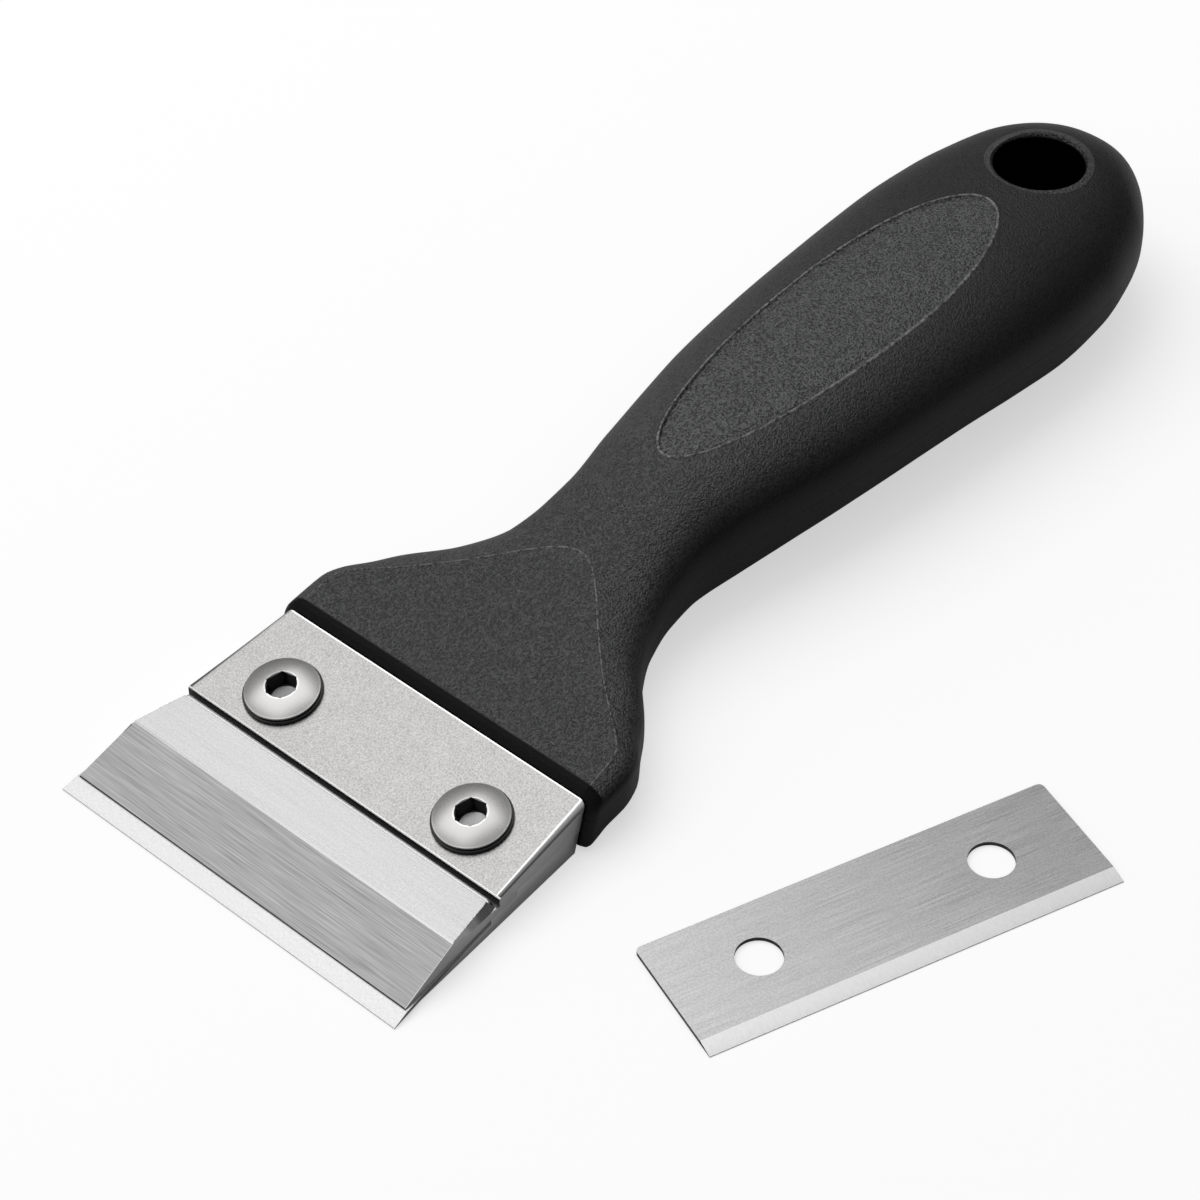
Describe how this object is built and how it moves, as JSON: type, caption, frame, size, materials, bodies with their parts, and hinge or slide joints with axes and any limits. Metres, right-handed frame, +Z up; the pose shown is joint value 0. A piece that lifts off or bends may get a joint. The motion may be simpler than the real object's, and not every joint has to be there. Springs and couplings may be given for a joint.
{
  "type": "hand scraper",
  "caption": "Hand scraper with a clamped straight steel blade, a screwed clamp head and a moulded handle with a hanging hole, beside a loose spare blade.",
  "frame": {"origin": "on the flat underside of the carrier, midway between the two clamp screws", "axes": "+X from the cutting edge towards the butt of the handle, +Y to the left of someone who looks along +X, +Z up from the surface the tool lies on"},
  "size_m": [0.1851, 0.1118, 0.0237],
  "materials": {
    "blade_steel": "ground and brushed along the edge",
    "jaw_steel": "finely ground",
    "beaded_steel": "bead blasted, matt",
    "screw_steel": "turned, satin",
    "dark_steel": "blackened",
    "handle_plastic": "fine spark-eroded texture",
    "pad_rubber": "leather-like grain"
  },
  "bodies": {
    "tool": {"carrier": "beaded_steel", "blade": "blade_steel", "tang": "jaw_steel", "tang_rivet_left": "screw_steel", "tang_rivet_right": "screw_steel", "handle_lower_shell": "handle_plastic", "handle_upper_shell": "handle_plastic", "grip_pad": "pad_rubber", "shell_screw_front_left": "screw_steel", "shell_screw_front_right": "screw_steel", "shell_screw_neck": "screw_steel", "shell_screw_grip": "screw_steel"},
    "clamp": {"clamp_block": "beaded_steel", "screw_washer_left": "dark_steel", "screw_washer_right": "dark_steel"},
    "jaw": {"front_jaw": "jaw_steel", "locating_pin_left": "dark_steel", "locating_pin_right": "dark_steel"},
    "screw_left": {"clamp_screw_left": "screw_steel"},
    "screw_right": {"clamp_screw_right": "screw_steel"},
    "spare": {"spare_blade": "blade_steel"}
  },
  "joints": [
    {"name": "clamp_lift", "type": "slide", "parent": "tool", "child": "clamp", "axis": [-0.1608, 0, 0.987], "range_m": [0, 0.002]},
    {"name": "jaw_lift", "type": "slide", "parent": "tool", "child": "jaw", "axis": [-0.0872, 0, 0.9962], "range_m": [0, 0.0019]},
    {"name": "screw_left_turn", "type": "hinge", "parent": "clamp", "child": "screw_left", "pos_m": [0, 0.017, 0.00581], "axis": [-0.1608, 0, 0.987], "range_deg": [0, 720]},
    {"name": "screw_right_turn", "type": "hinge", "parent": "clamp", "child": "screw_right", "pos_m": [0, -0.017, 0.00581], "axis": [-0.1608, 0, 0.987], "range_deg": [0, 720]},
    {"name": "spare_blade_lift", "type": "slide", "parent": "tool", "child": "spare", "axis": [0, 0, 1], "range_m": [0, 0.05]}
  ],
  "couplings": [
    {"joint": "screw_left_turn", "follows": "clamp_lift", "rad_per_m": 6283.2},
    {"joint": "screw_right_turn", "follows": "clamp_lift", "rad_per_m": 6283.2},
    {"joint": "jaw_lift", "follows": "clamp_lift", "ratio": 0.95}
  ]
}
